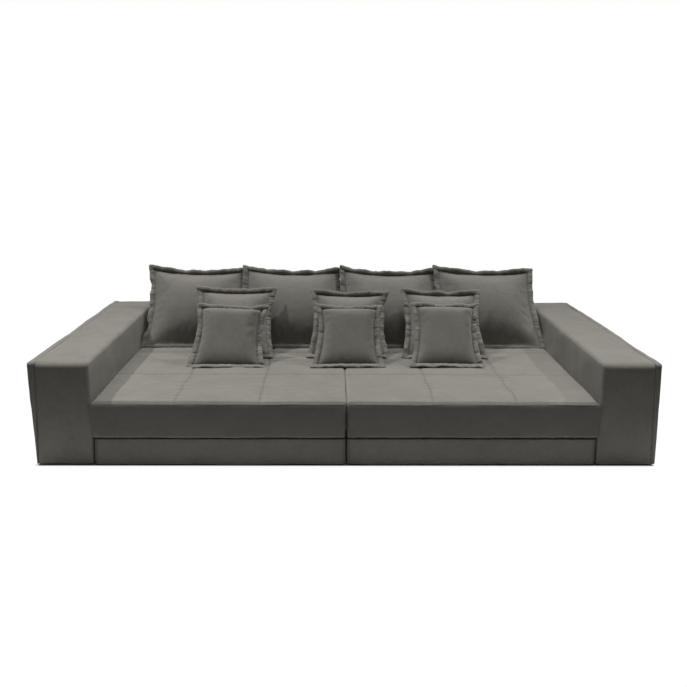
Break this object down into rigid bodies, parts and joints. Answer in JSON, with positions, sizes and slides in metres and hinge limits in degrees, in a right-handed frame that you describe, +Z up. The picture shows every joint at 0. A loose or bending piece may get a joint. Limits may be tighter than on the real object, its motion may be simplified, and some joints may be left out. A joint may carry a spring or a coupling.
{
  "type": "sofa",
  "caption": "Low deep sofa in two joined halves with box arms, quilted seat, low back, plinth and loose flanged cushions that lift off.",
  "frame": {"origin": "middle of the footprint, on the floor under the glides", "axes": "+X along the sofa's width, to the right seen from the front; the front faces -Y; +Z up"},
  "size_m": [3.5, 1.876, 0.8809],
  "materials": {
    "upholstery": "warm grey suede-like weave",
    "cushion_fabric": "warm grey suede-like weave",
    "timber": "planed softwood",
    "foam": "open-cell upholstery foam",
    "fibre": "polyester fibre",
    "webbing": "elastic webbing",
    "dust_cloth": "non-woven cloth",
    "steel": "zinc plated",
    "spacer_rubber": "matte",
    "glide_plastic": "matte"
  },
  "bodies": {
    "sofa": {"seat_cover_left": "upholstery", "plinth_cover_left": "upholstery", "arm_cover_left": "upholstery", "arm_side_panel_left": "upholstery", "back_cover_left": "upholstery", "base_cross_rails_left": "timber", "base_end_rails_left": "timber", "plinth_board_left": "timber", "arm_rails_left": "timber", "arm_ladders_left": "timber", "back_rails_left": "timber", "back_ladders_left": "timber", "seat_foam_left": "foam", "arm_foam_left": "foam", "back_foam_left": "foam", "seat_webbing_left": "webbing", "dust_cover_left": "dust_cloth", "seat_cover_right": "upholstery", "plinth_cover_right": "upholstery", "arm_cover_right": "upholstery", "arm_side_panel_right": "upholstery", "back_cover_right": "upholstery", "base_cross_rails_right": "timber", "base_end_rails_right": "timber", "plinth_board_right": "timber", "arm_rails_right": "timber", "arm_ladders_right": "timber", "back_rails_right": "timber", "back_ladders_right": "timber", "seat_foam_right": "foam", "arm_foam_right": "foam", "back_foam_right": "foam", "seat_webbing_right": "webbing", "dust_cover_right": "dust_cloth", "frame_bolts": "steel", "frame_nuts": "steel", "module_spacers": "spacer_rubber", "glides": "glide_plastic"},
    "back_cushion_1": {"back_cushion_1_cover": "cushion_fabric", "back_cushion_1_fill": "fibre"},
    "back_cushion_2": {"back_cushion_2_cover": "cushion_fabric", "back_cushion_2_fill": "fibre"},
    "back_cushion_3": {"back_cushion_3_cover": "cushion_fabric", "back_cushion_3_fill": "fibre"},
    "back_cushion_4": {"back_cushion_4_cover": "cushion_fabric", "back_cushion_4_fill": "fibre"},
    "medium_cushion_left": {"medium_cushion_left_cover": "cushion_fabric", "medium_cushion_left_fill": "fibre"},
    "medium_cushion_middle": {"medium_cushion_middle_cover": "cushion_fabric", "medium_cushion_middle_fill": "fibre"},
    "medium_cushion_right": {"medium_cushion_right_cover": "cushion_fabric", "medium_cushion_right_fill": "fibre"},
    "small_cushion_left": {"small_cushion_left_cover": "cushion_fabric", "small_cushion_left_fill": "fibre"},
    "small_cushion_middle": {"small_cushion_middle_cover": "cushion_fabric", "small_cushion_middle_fill": "fibre"},
    "small_cushion_right": {"small_cushion_right_cover": "cushion_fabric", "small_cushion_right_fill": "fibre"}
  },
  "joints": [
    {"name": "back_cushion_1_lift", "type": "slide", "parent": "sofa", "child": "back_cushion_1", "axis": [0, 0.7071, 0.7071], "range_m": [0, 0.75]},
    {"name": "back_cushion_2_lift", "type": "slide", "parent": "sofa", "child": "back_cushion_2", "axis": [0, 0.7071, 0.7071], "range_m": [0, 0.75]},
    {"name": "back_cushion_3_lift", "type": "slide", "parent": "sofa", "child": "back_cushion_3", "axis": [0, 0.7071, 0.7071], "range_m": [0, 0.75]},
    {"name": "back_cushion_4_lift", "type": "slide", "parent": "sofa", "child": "back_cushion_4", "axis": [0, 0.7071, 0.7071], "range_m": [0, 0.75]},
    {"name": "medium_cushion_left_lift", "type": "slide", "parent": "sofa", "child": "medium_cushion_left", "axis": [0, 0.7071, 0.7071], "range_m": [0, 0.62]},
    {"name": "medium_cushion_middle_lift", "type": "slide", "parent": "sofa", "child": "medium_cushion_middle", "axis": [0, 0.7071, 0.7071], "range_m": [0, 0.62]},
    {"name": "medium_cushion_right_lift", "type": "slide", "parent": "sofa", "child": "medium_cushion_right", "axis": [0, 0.7071, 0.7071], "range_m": [0, 0.62]},
    {"name": "small_cushion_left_lift", "type": "slide", "parent": "sofa", "child": "small_cushion_left", "axis": [0, 0.7071, 0.7071], "range_m": [0, 0.53]},
    {"name": "small_cushion_middle_lift", "type": "slide", "parent": "sofa", "child": "small_cushion_middle", "axis": [0, 0.7071, 0.7071], "range_m": [0, 0.53]},
    {"name": "small_cushion_right_lift", "type": "slide", "parent": "sofa", "child": "small_cushion_right", "axis": [0, 0.7071, 0.7071], "range_m": [0, 0.53]}
  ]
}
